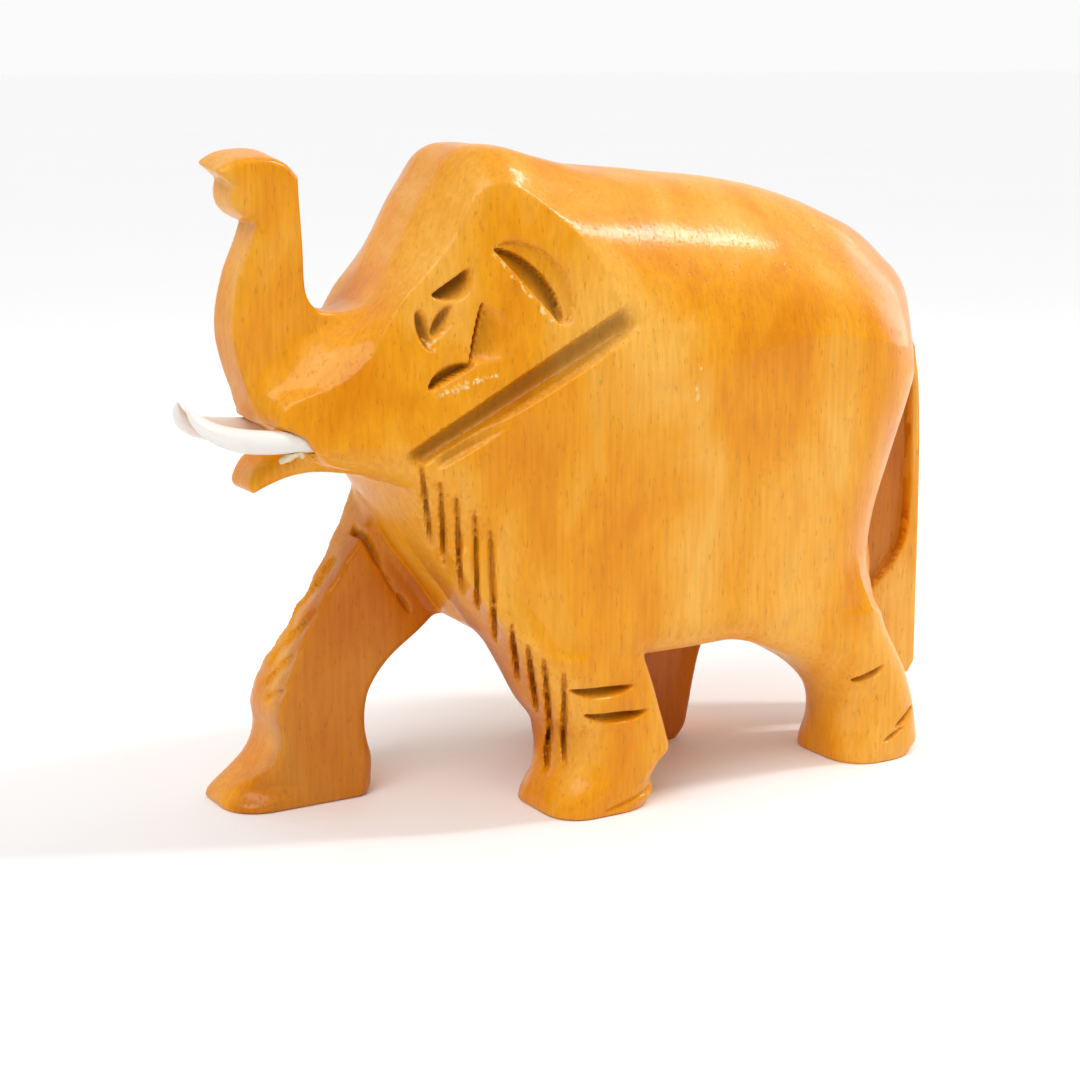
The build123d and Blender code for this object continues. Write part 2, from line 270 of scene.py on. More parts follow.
# Each leg is a pile of rounded sections:
# height, front, back (both from the crown), outer side, rounding of the front and of the back corners
legs = {
    "leftFore": {"side": -1, "folds": 0, "roundInside": 8, "sections": [
        (0, 3.7, 17.2, 17.1, 4, 5), (1.5, 3.9, 18.0, 17.3, 4.5, 5), (3.6, 4.7, 16.8, 17.5, 5.5, 3.5),
        (5.4, 6.1, 17.0, 17.7, 5.5, 2), (7.0, 7.0, 18.0, 17.8, 5.5, 1.2), (9.0, 6.8, 17.5, 17.8, 5, 1),
        (12, 4.6, 16.6, 17.8, 5, 1), (16, 2.4, 15.3, 17.9, 5, 1), (20, 0.1, 13.7, 17.9, 4.5, 1),
        (24, -2.6, 11.6, 18, 3.5, 1), (28, -5.3, 9, 18, 2.5, 1), (33, -8.0, 7, 18, 2, 1)]},
    "rightFore": {"side": 1, "folds": 0.1, "roundInside": 6, "sections": [
        (0, -27.5, -10.3, 17.1, 4.5, 3), (1, -27.4, -9.8, 17.2, 5, 3), (2.2, -26.4, -9.7, 17.4, 6, 3),
        (3.5, -24.7, -9.6, 17.5, 6, 3), (5, -22.9, -9.8, 17.6, 6, 2.5), (6.5, -21.9, -10.3, 17.6, 6, 2),
        (8.5, -21.5, -10.8, 17.7, 6.5, 1), (11, -21.9, -10.7, 17.7, 7, 1), (13, -21.4, -10.1, 17.7, 7, 1),
        (16, -20.2, -7.8, 17.7, 7, 1), (19.5, -18.8, -3.0, 17.7, 7, 1), (23.5, -16.6, 1.5, 17.7, 7, 1),
        (28, -13.4, 6, 17.7, 7, 1), (32.8, -10.1, 9, 17.7, 7, 1), (38, -7.6, 11, 17.5, 7, 1)]},
    "leftHind": {"side": -1, "folds": 0, "roundInside": 18, "sections": [
        (0, 44.7, 56.6, 17.5, 4.5, 5), (1.5, 44.7, 57.4, 17.7, 5, 5), (4, 44.8, 57.1, 17.8, 6.5, 5),
        (6.5, 44.6, 56.4, 17.8, 7, 4.5), (9, 43.6, 55.4, 17.8, 7, 4), (11.5, 41.6, 54.4, 17.8, 6, 4),
        (14, 38.2, 53.0, 17.8, 5, 4), (16, 34.3, 51.9, 17.7, 4, 4), (18.5, 29, 50.8, 17.7, 3, 4),
        (22, 24, 50.0, 17.7, 3, 4), (27, 20, 49.6, 17.5, 3, 4)]},
    "rightHind": {"side": 1, "folds": 0, "roundInside": 8, "sections": [
        (0, 19.4, 33.8, 17.0, 5, 2), (1.5, 18.6, 34.8, 17.3, 5, 1.5), (4, 18.6, 35.3, 17.5, 5, 1),
        (8, 18.4, 36.1, 17.7, 5, 1), (12, 17.4, 37.3, 17.7, 4, 1), (15, 15.4, 39.5, 17.7, 3, 1),
        (18, 12.0, 43.5, 17.7, 3, 2), (22, 10, 47.5, 17.7, 3, 3), (27, 9, 49.2, 17.5, 3, 4)]},
}
soleEdge = 0.3         # rounding round the soles
sawnEdge = 0.7         # rounding at the saw gap
legBlend = 1.2         # filling where a leg meets the body
legTop = 2.0           # rounding of a leg's hidden upper end
standsOut = 4.0        # how far a foot may stand out from the flank's line
sunkIn = 1.8           # how far inside the flank a leg's upper end lies


def legField(leg):
    sections = np.array(leg["sections"], float)
    front, back, outer, roundFront, roundBack = [along(sections[:, [0, i]], gridZ) for i in range(1, 6)]
    y = (leg["side"] * gridY)[None, :, None]
    z = gridZ[None, None, :]
    x = gridX[:, None, None]
    lean = [1 / np.sqrt(1 + np.gradient(line, voxel) ** 2) for line in (front, back)]
    ahead = (front - x) * lean[0]
    if leg["folds"]:
        ripple = np.sin(1.75 * z - 0.42 * y + 0.5 * np.sin(0.9 * z + 0.35 * y))
        ahead = ahead + leg["folds"] * ripple * soft(z, 12, 16) * (1 - soft(z, 30, 36)) * (1 - soft(-ahead, 0.6, 3.5))
    behind = (x - back) * lean[1]
    foot = 1 - soft(gridZ, leg["roundInside"] - 5, leg["roundInside"])
    innerFront = sawnEdge + (roundFront - sawnEdge) * foot
    field = both(ahead, y - outer, roundFront)
    field = both(field, behind, roundBack)
    inner = both(halfGap - y, ahead, innerFront)
    inner = both(inner, behind, sawnEdge + 0.5 * (roundBack - sawnEdge))
    field = np.maximum(field, inner)
    field = both(field, -z, soleEdge)
    # Above the belly a leg ends inside the flank and the rump
    spare = standsOut * (1 - soft(z, 13, 21)) - sunkIn * soft(z, 20, 29)
    field = np.maximum(field, np.maximum(planField() - spare, rumpField() - spare))
    return both(field, z - sections[-1, 0], legTop).astype(np.float32)


# Parts left standing on the middle plane. Blend is the filling where each meets the body.
trunk = {"thick": 6.2, "round": 0.8, "blend": 1.6, "tilt": 0.16}
lip = {"thick": 7.0, "round": 1.3, "blend": 1.5}
tail = {
    "thick": 5.6, "round": 0.4, "blend": 0.4,
    "tip": 6.0,                # height of its lower end
    "hollowDepth": 1.3,        # of the hollow in each of its flat sides
    "hollowEdge": 0.35,        # how wide the slope at the hollow's edge is
    "besideFrom": 1.0,         # the hollow is cut from here outwards
    "besideTo": 0.6,           # to this far past the tail's flat sides
}


def slab(sizes):
    return (wide - sizes["thick"] / 2)[None, :, None]


def trunkField():
    side = outline(
        [head(-16.8, -17.7), head(-18.8, -17.3), head(-20.0, -15.9), head(-20.4, -10), head(-20.7, -4.0),
         head(-20.7, -2.2)],
        [head(-20.7, -2.2), head(-22.0, -0.8), head(-23.8, -0.1), head(-26.2, 0.0), head(-28.4, -0.4),
         head(-30.2, -1.4)],
        [head(-30.2, -1.4), head(-29.1, -2.3), head(-28.2, -3.1)],
        [head(-28.2, -3.1), head(-28.5, -4.4), head(-28.2, -6.0), head(-27.1, -7.1), head(-25.6, -7.8)],
        [head(-25.6, -7.8), head(-26.3, -9.8), head(-27.7, -13), head(-28.7, -17), head(-28.8, -20), head(-28.0, -23.6),
         head(-26.8, -26.8), head(-25.8, -28.5)],
        [head(-25.8, -28.5), head(-23, -29.6), head(-18, -31), head(-12, -28), head(-13, -18.5), head(-16.8, -17.7)],
    )
    field = inside(side, sideX, sideZ)
    # The top slopes down to the left
    tilted = np.empty((len(gridX), len(gridY), len(gridZ)), np.float32)
    upper = soft(gridZ, crownZ - 7, crownZ - 4)
    for j, y in enumerate(gridY):
        place = np.arange(len(gridZ)) + trunk["tilt"] * (trunk["thick"] / 2 - min(max(y, -4), 3)) / voxel * upper
        cell = np.clip(place.astype(int), 0, len(gridZ) - 2)
        tilted[:, j] = field[:, cell] * (1 - place + cell) + field[:, cell + 1] * (place - cell)
    return both(tilted, slab(trunk), trunk["round"])


def lipField():
    side = outline(
        [head(-12, -36.0), head(-16.4, -35.4), head(-19.0, -35.2), head(-22.4, -35.4), head(-25.2, -36.2),
         head(-26.9, -36.9)],
        [head(-26.9, -36.9), head(-27.4, -36.2), head(-26.9, -34.7), head(-26.0, -33.5), head(-25.0, -33.0),
         head(-23.6, -32.7), head(-21.0, -32.8)],
        [head(-21.0, -32.8), head(-14, -31)],
        [head(-14, -31), head(-12, -36.0)],
    )
    return both(flat(inside(side, sideX, sideZ)), slab(lip), lip["round"])


def tailField():
    tip = tail["tip"]
    side = outline(
        [rear(2.0, -26.5), rear(1.1, -30.5), rear(0.5, -38), (tailX - 0.2, belly + 8), (tailX - 0.1, tip + 1.2)],
        [(tailX - 0.1, tip + 1.2), (tailX - 1.2, tip - 0.4)],
        [(tailX - 1.2, tip - 0.4), (tailX - 6.2, tip + 2.6), (tailX - 11, tip + 7.5), (tailX - 14, belly + 2)],
        [(tailX - 14, belly + 2), (tailX - 22, belly + 6)],
        [(tailX - 22, belly + 6), rear(20, -30)],
        [rear(20, -30), rear(2.0, -26.5)],
    )
    return both(flat(inside(side, sideX, sideZ)), slab(tail), tail["round"])


# Flat sides of the head
ears = {
    "yaw": 19.5,                   # how far each flat side turns towards the front
    "lean": 9.5,                   # how far it leans in towards the top
    "corner": head(-1.8, -3.5),
    "halfWidth": 10.0,             # half the head's width at that corner
    "low": head(-11.8, -33.2),     # lower end of the groove under the ear
    "high": head(13.0, -18.2),     # its upper end
    "grooveRadius": 1.45,
    "grooveDepth": 1.1,
    "secondBelow": 1.5,            # the second pass of the gouge
    "secondDepth": 0.8,
}


# Distance out from the flat side of the head, over the grid
def earSide():
    yaw, lean = math.radians(ears["yaw"]), math.radians(ears["lean"])
    out = (-math.sin(yaw) * math.cos(lean), math.cos(yaw) * math.cos(lean), math.sin(lean))
    x, z = ears["corner"]
    return (out[0] * (gridX - x))[:, None, None] + (out[1] * (wide - ears["halfWidth"]))[None, :, None] + (
        out[2] * (gridZ - z))[None, None, :]


# Distance above the line of the groove, in the side view
def aboveGroove():
    (x0, z0), (x1, z1) = ears["low"], ears["high"]
    return ((sideZ - z0) * (x1 - x0) - (sideX - x0) * (z1 - z0)) / math.hypot(x1 - x0, z1 - z0)


# The depth of a set of cuts, as a map over one view of the block
class Relief:
    def __init__(self, acrossView):
        self.across = acrossView
        self.u, self.z = np.meshgrid(acrossView, gridZ, indexing="ij")
        self.depth = np.zeros_like(self.u)
        self.fibre = np.zeros_like(self.u)

    # Places near a line: how far along it each is, from 0 to 1, how far off it, and a window on the map
    def near(self, start, end, reach):
        low = np.minimum(start, end) - reach
        high = np.maximum(start, end) + reach
        window = tuple(slice(*np.searchsorted(g, (a, b))) for g, a, b in zip((self.across, gridZ), low, high))
        (ahead, up), length = np.subtract(end, start), math.dist(start, end)
        u, v = self.u[window] - start[0], self.z[window] - start[1]
        t = (u * ahead + v * up) / length ** 2
        off = (v * ahead - u * up) / length
        return window, t, off

    # A knife stroke, pointed at both ends
    def stroke(self, start, end, width, depth, blunt=0.45):
        window, t, off = self.near(start, end, width)
        taper = np.clip(4 * t * (1 - t), 0, 1) ** blunt
        cut = depth * taper * np.clip(1.15 * (1 - np.abs(off) / (0.5 * width * taper + 1e-6)), 0, 1)
        self.depth[window] = np.maximum(self.depth[window], cut)

    # A gouge cut with one straight, steep edge from start to end, shallow towards its round edge
    def scoop(self, start, end, bulge, depth, wall=0.3, slope=1.0):
        window, t, off = self.near(start, end, abs(bulge) + 1)
        off = off * math.copysign(1, bulge)
        reach = abs(bulge) * np.clip(4 * t * (1 - t), 0, 1) ** 0.75
        share = np.clip(off / (reach + 1e-6), 0, 1)
        cut = depth * (1 - share ** slope) * np.clip(reach / abs(bulge) * 1.6, 0, 1) * np.clip(off / wall, 0, 1)
        self.depth[window] = np.maximum(self.depth[window], np.where(reach > 0.02, cut, 0))

    # A gouge cut that slopes down from a straight edge to a steep, round wall
    def hollow(self, start, end, bulge, depth, wall=0.35):
        window, t, off = self.near(start, end, abs(bulge) + 1)
        off = off * math.copysign(1, bulge)
        reach = abs(bulge) * np.clip(4 * t * (1 - t), 0, 1) ** 0.6
        share = np.clip(off / (reach + 1e-6), 0, 1)
        cut = depth * (0.25 + 0.75 * share) * np.clip(off / wall, 0, 1) * np.clip((reach - off) / wall, 0, 1)
        self.depth[window] = np.maximum(self.depth[window], np.where(reach > 0.02, cut, 0))

    # Torn fibres left standing along an edge
    def burr(self, start, end, width, height, grain):
        window, t, off = self.near(start, end, width * 2)
        wander = off + 0.25 * width * np.sin(t * grain) + 0.2 * width * np.sin(t * grain * 2.3 + 1)
        ridge = np.clip(1 - np.abs(wander) / width, 0, 1) * np.clip(12 * t * (1 - t), 0, 1)
        tuft = ridge * (0.6 + 0.4 * np.sin(t * grain * 1.7 + 2.0 * off / width))
        self.depth[window] -= height * tuft
        self.fibre[window] = np.maximum(self.fibre[window], np.clip(1.3 * tuft, 0, 1))

    # A list of cuts, each with its kind first
    def carve(self, cuts):
        kinds = {"stroke": self.stroke, "scoop": self.scoop, "hollow": self.hollow, "burr": self.burr}
        for kind, *sizes in cuts:
            kinds[kind](*sizes)
        return self


# The groove along the lower edge of the ear, with a second, shallower pass below it
def carveGroove(relief):
    up = aboveGroove()
    (x0, z0), (x1, z1) = ears["low"], ears["high"]
    length = math.hypot(x1 - x0, z1 - z0)
    t = ((sideX - x0) * (x1 - x0) + (sideZ - z0) * (z1 - z0)) / length ** 2
    ends = soft(t, -0.07, 0.05) * (1 - soft(t, 0.93, 1.03))
    radius = ears["grooveRadius"] * (0.75 + 0.35 * t)
    groove = ears["grooveDepth"] * np.sqrt(np.clip(1 - (up / radius) ** 2, 0, 1)) * ends
    fade = soft(t, 0.0, 0.1) * (1 - soft(t, 0.15, 0.45))
    second = ears["secondDepth"] * np.sqrt(np.clip(1 - ((up + ears["secondBelow"]) / 0.7) ** 2, 0, 1)) * fade
    relief.depth = np.maximum(relief.depth, np.maximum(groove, second))


# Each cut: its kind, its two ends, its width or bulge, its depth, then the finer points of its shape.
# A burr has a width, a height and how often its fibres repeat.
headCuts = [
    # ear: a shallow outer rim and a deep inner cut
    ("hollow", head(-1.4, -10.5), head(5.2, -19.4), 3.9, 0.62, 0.2),
    ("hollow", head(-1.9, -11.0), head(4.6, -19.4), 2.5, 1.8),
    # brow, eye and cheek
    ("scoop", head(-4.4, -12.7), head(-8.8, -15.7), 2.3, 1.6, 0.3, 2.8),
    ("stroke", head(-10.1, -17.2), head(-9.2, -21.6), 1.9, 1.4),
    ("stroke", head(-6.6, -16.8), head(-9.0, -20.3), 1.9, 1.3),
    ("stroke", head(-3.3, -16.5), head(-5.2, -23.2), 0.8, 1.5, 0.3),
    ("scoop", head(-5.1, -23.1), head(-3.1, -16.6), -4.2, 0.9, 0.25, 1.0),
    ("scoop", head(-9.9, -26.1), head(-4.6, -23.3), 1.6, 1.6, 0.3, 2.0),
    # torn fibres
    ("burr", head(-2.1, -11.2), head(4.3, -19.6), 0.2, 0.1, 26),
    ("burr", head(-9.4, -26.5), head(-3.7, -24.6), 0.42, 0.2, 46),
    ("burr", head(-5.4, -24.9), head(-2.4, -24.4), 0.22, 0.15, 30),
    ("burr", head(-9.5, -20.0), head(-8.7, -22.2), 0.26, 0.15, 24),
    ("burr", head(-7.6, -19.4), head(-9.2, -21.2), 0.26, 0.15, 30),
]
leftCuts = [
    # creases of the forefoot
    ("scoop", (12.9, 15.7), (4.5, 16.0), 1.5, 1.5, 0.25, 1.8),
    ("scoop", (14.9, 12.4), (6.3, 12.8), 1.5, 1.5, 0.25, 1.8),
    ("stroke", (9.3, 0.7), (16.4, 2.4), 0.8, 0.5, 0.3),
    # corner of the mouth
    ("stroke", (-23.0, 44.5), (-20.4, 42.0), 1.2, 0.9, 0.4),
    # creases of the hind leg
    ("scoop", (49.3, 12.9), (45.0, 11.0), 1.2, 1.3, 0.25, 1.8),
    ("stroke", (51.3, 4.2), (54.8, 6.4), 1.1, 1.1),
    ("stroke", (49.6, 2.6), (52.8, 4.2), 0.8, 0.8),
    ("stroke", (32.6, 18.2), (36.4, 21.8), 0.7, 0.2),
    # torn fibres on the flank
    ("burr", (21.0, 51.9), (20.6, 47.4), 0.3, 0.1, 30),
]
rightCuts = [
    ("scoop", (-12.6, 15.0), (-19.8, 15.4), 1.2, 1.0, 0.25, 1.6),
    ("scoop", (-13.2, 11.8), (-20.4, 12.2), 1.2, 1.0, 0.25, 1.6),
    ("scoop", (29.6, 12.6), (24.6, 11.0), 0.9, 0.9, 0.25),
]
# On the inside of the right foreleg, where it meets the chest
insideCuts = [
    ("stroke", (-11.4, 33.2), (-8.4, 27.2), 1.4, 0.9),
    ("stroke", (-8.6, 27.4), (-6.6, 24.0), 0.7, 0.5),
    ("stroke", (-6.5, 24.2), (-4.8, 21.6), 0.9, 0.7),
]


def carveSide(cuts):
    relief = Relief(gridX)
    carveGroove(relief)
    return relief.carve(headCuts).carve(cuts)


# Cuts seen from the left front. Places along that view are given by lookTurn; heights are true.
lookTurn = math.radians(29.25)
acrossLook = np.arange(-34, 20, voxel, dtype=np.float32)
# Folds of skin in front of the shoulder and down the left foreleg: upper and lower end of each
shoulderFolds = [
    [(-4.0, 42.1), (-3.2, 32.0)], [(-2.0, 40.5), (-1.7, 29.6)], [(-0.3, 39.0), (0.2, 26.4)],
    [(1.7, 37.2), (2.0, 24.7)], [(3.4, 35.1), (4.0, 20.2)], [(5.7, 24.0), (6.6, 14.9)],
    [(7.5, 21.7), (8.8, 10.9)], [(9.3, 19.9), (10.4, 8.6)], [(10.4, 9.6), (9.8, 4.2)],
    [(11.6, 18.2), (11.9, 5.4)],
]
# the same down the front of the right foreleg, with the depth of each
rightFolds = [
    [(-14.4, 28.7), (-18.6, 22.8), 0.5], [(-16.3, 23.4), (-21.6, 17.3), 0.5],
    [(-18.8, 18.6), (-23.0, 13.6), 0.5], [(-20.1, 14.3), (-22.8, 12.2), 0.5],
    [(-17.4, 26.0), (-19.9, 20.6), 0.25], [(-20.3, 19.2), (-22.4, 15.4), 0.25],
]
chestCuts = [("stroke", high, low, 0.9, 1.2, 0.22) for high, low in shoulderFolds]
chestCuts.append(("stroke", (13.9, 11.4), (13.9, 9.3), 0.5, 0.3))
shinCuts = [("stroke", high, low, 1.0, depth, 0.3) for high, low, depth in rightFolds]


# Where a place lies along the view of those cuts
def alongView(x, y):
    return x * math.cos(lookTurn) - y * math.sin(lookTurn)


# The hollow beside the tail, in both of its flat sides
def tailHollow():
    edge = outline(
        [(tailX - 2.2, 50.4), (tailX - 2.1, 42.3), (tailX - 1.8, 31.7), (tailX - 2.5, 23.8),
         (tailX - 4.9, 20.1), (tailX - 7.8, 17.7)],
        [(tailX - 7.8, 17.7), (tailX - 14, 20), (tailX - 14, 50.4)],
    )
    return np.clip(-inside(edge, sideX, sideZ) / tail["hollowEdge"], 0, 1) * tail["hollowDepth"]


tusks = {
    # middle line of the left tusk from the mouth to the tip: back from the crown, from the middle plane, height
    "line": [(-23.7, 5.55, 44.95), (-26.2, 5.4, 45.1), (-29.3, 4.8, 45.5), (-31.8, 3.8, 46.4), (-33.2, 2.5, 47.7),
             (-33.9, 1.1, 49.2)],
    "radii": [1.18, 1.3, 1.3, 1.05, 0.7, 0.12],
    "peg": 1.15,               # radius of the peg, and of the socket drilled for it
    "socket": 1.3,
    "pegLength": 4.5,
    "pegEdge": 0.15,
    "socketEnd": (-18.5, 5.8, 44.8),
    "mouthWider": 0.05,        # how much wider the hole is at the mouth
}

# Lumps of dried glue squeezed out at the corner of the mouth: centre and radius
glueLumps = [
    (-24.6, 5.3, 43.0, 0.42), (-24.1, 5.4, 43.2, 0.45), (-23.7, 5.5, 43.5, 0.5), (-23.2, 5.7, 43.8, 0.5),
    (-23.0, 5.9, 44.3, 0.36), (-23.1, 6.0, 44.8, 0.26), (-22.7, 6.0, 43.9, 0.3), (-22.6, 6.0, 43.4, 0.28),
]
glueShape = {
    "step": 0.1,               # how finely it is meshed
    "low": (-26.5, 3.4, 41.6), "high": (-17.4, 8.0, 46.8),
    "blend": 0.18,             # filling between lumps
    "wave": 0.06,              # unevenness of the lumps
    # the sleeve between peg and socket: its inner end, how far inside the mouth it stops, and its play
    "sleeveEnd": (-18.7, 5.75, 44.8), "sleeveStop": 1.4, "play": 0.04,
    "boreEnd": (-17.0, 5.9, 44.85),
    "tuskRoom": 1.25,          # radius kept free round the tusk outside the mouth
}


# Distance to a capsule between two points, over the whole grid or part of it
def capsule(a, b, radius, x, y, z):
    a, b = np.array(a, float), np.array(b, float)
    d = b - a
    t = np.clip(((x - a[0]) * d[0] + (y - a[1]) * d[1] + (z - a[2]) * d[2]) / (d @ d + 1e-9), 0, 1)
    return np.sqrt((x - a[0] - t * d[0]) ** 2 + (y - a[1] - t * d[1]) ** 2 + (z - a[2] - t * d[2]) ** 2) - radius


# Slow unevenness left by hand scraping
def handwork(seed, spacing):
    rng = np.random.default_rng(seed)
    count = [int(len(g) * voxel / s) + 4 for g, s in zip((gridX, gridY, gridZ), spacing)]
    field = rng.standard_normal(count).astype(np.float32)
    for axis, (g, s) in enumerate(zip((gridX, gridY, gridZ), spacing)):
        place = (g - g[0]) / s + 1
        cell = place.astype(int)
        f = (place - cell)[:, None]
        before, after = 3 * f ** 3 - 6 * f ** 2 + 4, -3 * f ** 3 + 3 * f ** 2 + 3 * f + 1
        weights = np.hstack([(1 - f) ** 3, before, after, f ** 3]) / 6
        matrix = np.zeros((len(g), count[axis]), np.float32)
        for k in range(4):
            matrix[np.arange(len(g)), cell + k - 1] += weights[:, k]
        field = np.moveaxis(np.tensordot(matrix, field, (1, axis)), 0, axis)
    return field


# Hand marks: the random seed, how far apart the marks are along each axis, and their height
handMarks = [(3, (5, 5, 8), 0.045), (4, (1.8, 1.8, 4), 0.02)]


def carveWood():
    wood = torsoField()
    wood = both(wood, faceField(), face["crownEdge"])
    wood = np.maximum(wood, np.minimum(earSide(), flat(aboveGroove())))
    print("torso and head carved")
    for leg in legs.values():
        tall = gridZ <= leg["sections"][-1][0] + 2
        wood[:, :, tall] = either(wood[:, :, tall], legField(leg)[:, :, tall], legBlend)
    print("legs carved")
    wood = either(wood, trunkField(), trunk["blend"])
    wood = either(wood, lipField(), lip["blend"])
    wood = either(wood, tailField(), tail["blend"])
    beside = (wide > tail["besideFrom"]) & (wide < tail["thick"] / 2 + tail["besideTo"])
    wood[:, beside] += flat(tailHollow())
    wood += sum(height * handwork(seed, spacing) for seed, spacing, height in handMarks)
    # sockets of the tusks
    root, outside = tusks["line"][:2]
    nearMouth = (gridX > -30) & (gridX < -14)
    for side in (-1, 1):
        x, y, z = gridX[nearMouth][:, None, None], (side * gridY)[None, :, None], gridZ[None, None, :]
        hole = capsule(tusks["socketEnd"], root, tusks["socket"], x, y, z)
        hole = np.minimum(hole, capsule(root, outside, tusks["socket"] + tusks["mouthWider"], x, y, z))
        wood[nearMouth] = np.maximum(wood[nearMouth], -hole)
    return wood


def woodMesh(field):
    band = 1.2         # only distances this near the surface matter
    grid = openvdb.FloatGrid(band)
    grid.copyFromArray(np.clip(field, -band, band).astype(np.float32))
    points, triangles, quads = grid.convertToPolygons(0.0, 0.0)
    points = (points * voxel + gridLow + [crownX, 0, 0]) / 1000
    mesh = bpy.data.meshes.new("carvedWood")
    mesh.from_pydata(points.tolist(), [], triangles[:, ::-1].tolist() + quads[:, ::-1].tolist())
    mesh.update()
    return mesh


def addPiece(name, mesh, node):
    piece = bpy.data.objects.new(name, mesh)
    bpy.context.scene.collection.objects.link(piece)
    mesh.polygons.foreach_set("use_smooth", [True] * len(mesh.polygons))
    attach(piece, "root")
    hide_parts(node)
    return piece


# Sharper edges are kept while flat places get larger faces
def thinOut(mesh, faces):
    piece = bpy.data.objects.new("thinning", mesh)
    bpy.context.scene.collection.objects.link(piece)
    triangles = sum(len(polygon.vertices) - 2 for polygon in mesh.polygons)
    thin = piece.modifiers.new("thin", "DECIMATE")
    thin.ratio = min(1, faces / triangles)
    thinned = bpy.data.meshes.new_from_object(piece.evaluated_get(bpy.context.evaluated_depsgraph_get()))
    bpy.data.objects.remove(piece)
    return thinned


left, right, within = carveSide(leftCuts), carveSide(rightCuts), Relief(gridX).carve(insideCuts)
chest, rightShin = Relief(acrossLook).carve(chestCuts), Relief(acrossLook).carve(shinCuts)
# How far from the middle plane each set of cuts works, and how far back those seen from the front
reach = {"side": 5.5, "inside": (2, 7), "front": 3, "back": 22}


def sideReliefs(y):
    innerMost, outerMost = reach["inside"]
    return (left, y < -reach["side"]), (right, y > reach["side"]), (within, (y > innerMost) & (y < outerMost))


field = carveWood()
for relief, near in sideReliefs(gridY):
    field[:, near] += flat(relief.depth)
ahead = gridX < reach["back"]
for relief, near in ((chest, gridY < -reach["front"]), (rightShin, gridY > reach["front"])):
    place = (alongView(gridX[ahead][:, None], gridY[near][None, :]) - acrossLook[0]) / voxel
    cell = np.clip(place.round().astype(int), 0, len(acrossLook) - 1)
    field[np.ix_(ahead, near)] += relief.depth[cell]
print("cuts made")
woodPiece = thinOut(woodMesh(field), block["faces"])
woodPiece.name = "carvedWood"
carving = addPiece("carvedWood", woodPiece, "carved_body")
print("wood meshed:", len(carving.data.polygons), "faces")


# How the wood's colour follows the carving, with painted shade in cuts, in the tail's hollow and on the inner sides of
# the legs
marking = {
    "deepest": 1.8,            # the deepest cut of the knife
    "hollowShadeFrom": 0.6,        # depth of the tail's hollow from which painted shade goes on
    "legShadeBelow": (24, 38),      # painted shade on the inner sides of the legs below these heights
    "legShadeReach": (1.5, 4),    # to this far from the saw gap
    "hindShadeEnd": 52,           # behind this place painted shade goes only in the tail's hollow
}


# How deep in a cut each point of the surface lies, for painted shade in the wood's colour, where fibres are torn, and
# where painted shade darkens the tail's hollow and the inner sides of the legs
def markCuts(mesh):
    count = len(mesh.vertices)
    place = np.empty(count * 3, np.float32)
    mesh.vertices.foreach_get("co", place)
    place = place.reshape(-1, 3) * 1000 - [crownX, 0, 0]
    i = np.clip(((place[:, 0] - gridX[0]) / voxel).round().astype(int), 0, len(gridX) - 1)
    k = np.clip(((place[:, 2] - gridZ[0]) / voxel).round().astype(int), 0, len(gridZ) - 1)
    depth, fibre = np.zeros(count), np.zeros(count)
    y = place[:, 1]
    for relief, near in sideReliefs(y):
        depth[near] = relief.depth[i, k][near]
        fibre[near] = relief.fibre[i, k][near]
    u = ((alongView(place[:, 0], y) - acrossLook[0]) / voxel).round().astype(int)
    u = np.clip(u, 0, len(acrossLook) - 1)
    fromFront = np.where(y < 0, chest.depth[u, k], rightShin.depth[u, k]) * (place[:, 0] < reach["back"])
    depth = np.maximum(depth, fromFront)
    # Painted shade: the tail's hollow and the inner sides of the legs below the belly are darkened
    hollow = (tailHollow()[i, k] > marking["hollowShadeFrom"]) & (np.abs(y) < tail["thick"] / 2)
    lower, upper = [halfGap + past for past in marking["legShadeReach"]]
    innerSide = (1 - soft(np.abs(y), lower, upper)) * (np.abs(y) > halfGap - 0.5)
    dark = np.maximum(hollow, (1 - soft(place[:, 2], *marking["legShadeBelow"])) * innerSide)
    dark *= np.where(place[:, 0] > marking["hindShadeEnd"], hollow, 1)
    for name, values in (
        ("cutDepth", np.clip(depth / marking["deepest"], 0, 1)), ("tornFibre", fibre), ("legAndHollowShade", dark),
    ):
        layer = mesh.attributes.new(name, "FLOAT", "POINT")
        layer.data.foreach_set("value", values.astype(np.float32))


markCuts(carving.data)


# A round bar of changing radius along a line of points
def tube(points, radii, sides=28):
    points = [Vector(p) for p in points]
    vertices, faces = [], []
    across = Vector((0, 0, 1))
    for i, (point, radius) in enumerate(zip(points, radii)):
        ahead = (points[min(i + 1, len(points) - 1)] - points[max(i - 1, 0)]).normalized()
        u = ahead.cross(across).normalized()
        v = u.cross(ahead)
        for j in range(sides):
            turn = 2 * math.pi * j / sides
            vertices.append(point + radius * (math.cos(turn) * u + math.sin(turn) * v))
    for i in range(len(points) - 1):
        for j in range(sides):
            k = (j + 1) % sides
            faces.append((i * sides + j, i * sides + k, (i + 1) * sides + k, (i + 1) * sides + j))
    faces.append(tuple(range(sides))[::-1])
    faces.append(tuple(range((len(points) - 1) * sides, len(points) * sides)))
    return vertices, faces


